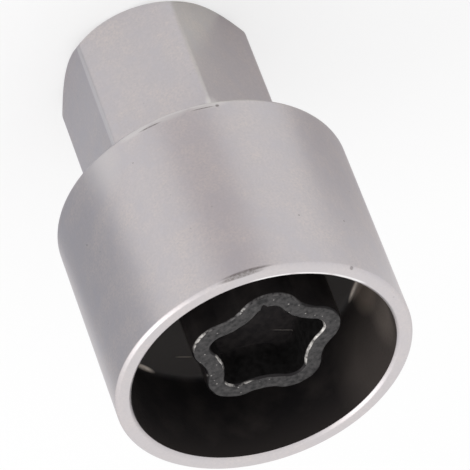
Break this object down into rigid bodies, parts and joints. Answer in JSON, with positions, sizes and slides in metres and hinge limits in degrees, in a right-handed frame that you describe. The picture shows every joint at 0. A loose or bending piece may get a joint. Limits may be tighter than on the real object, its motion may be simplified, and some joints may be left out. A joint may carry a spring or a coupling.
{
  "type": "wheel lock key",
  "caption": "Steel key for locking wheel bolts: a hexagon drive end for a wheel brace and a round cup with a raised wavy ring inside that enters the bolt's groove.",
  "frame": {"origin": "centre of the hexagon's end face", "axes": "+Z along the axis from the hexagon to the cup's mouth, +X through a corner of the hexagon"},
  "size_m": [0.0286, 0.0286, 0.0397],
  "materials": {
    "satin_steel": "satin plated outside, blackened inside the cup"
  },
  "bodies": {
    "root": {"wheel_lock_key": "satin_steel"}
  },
  "joints": []
}
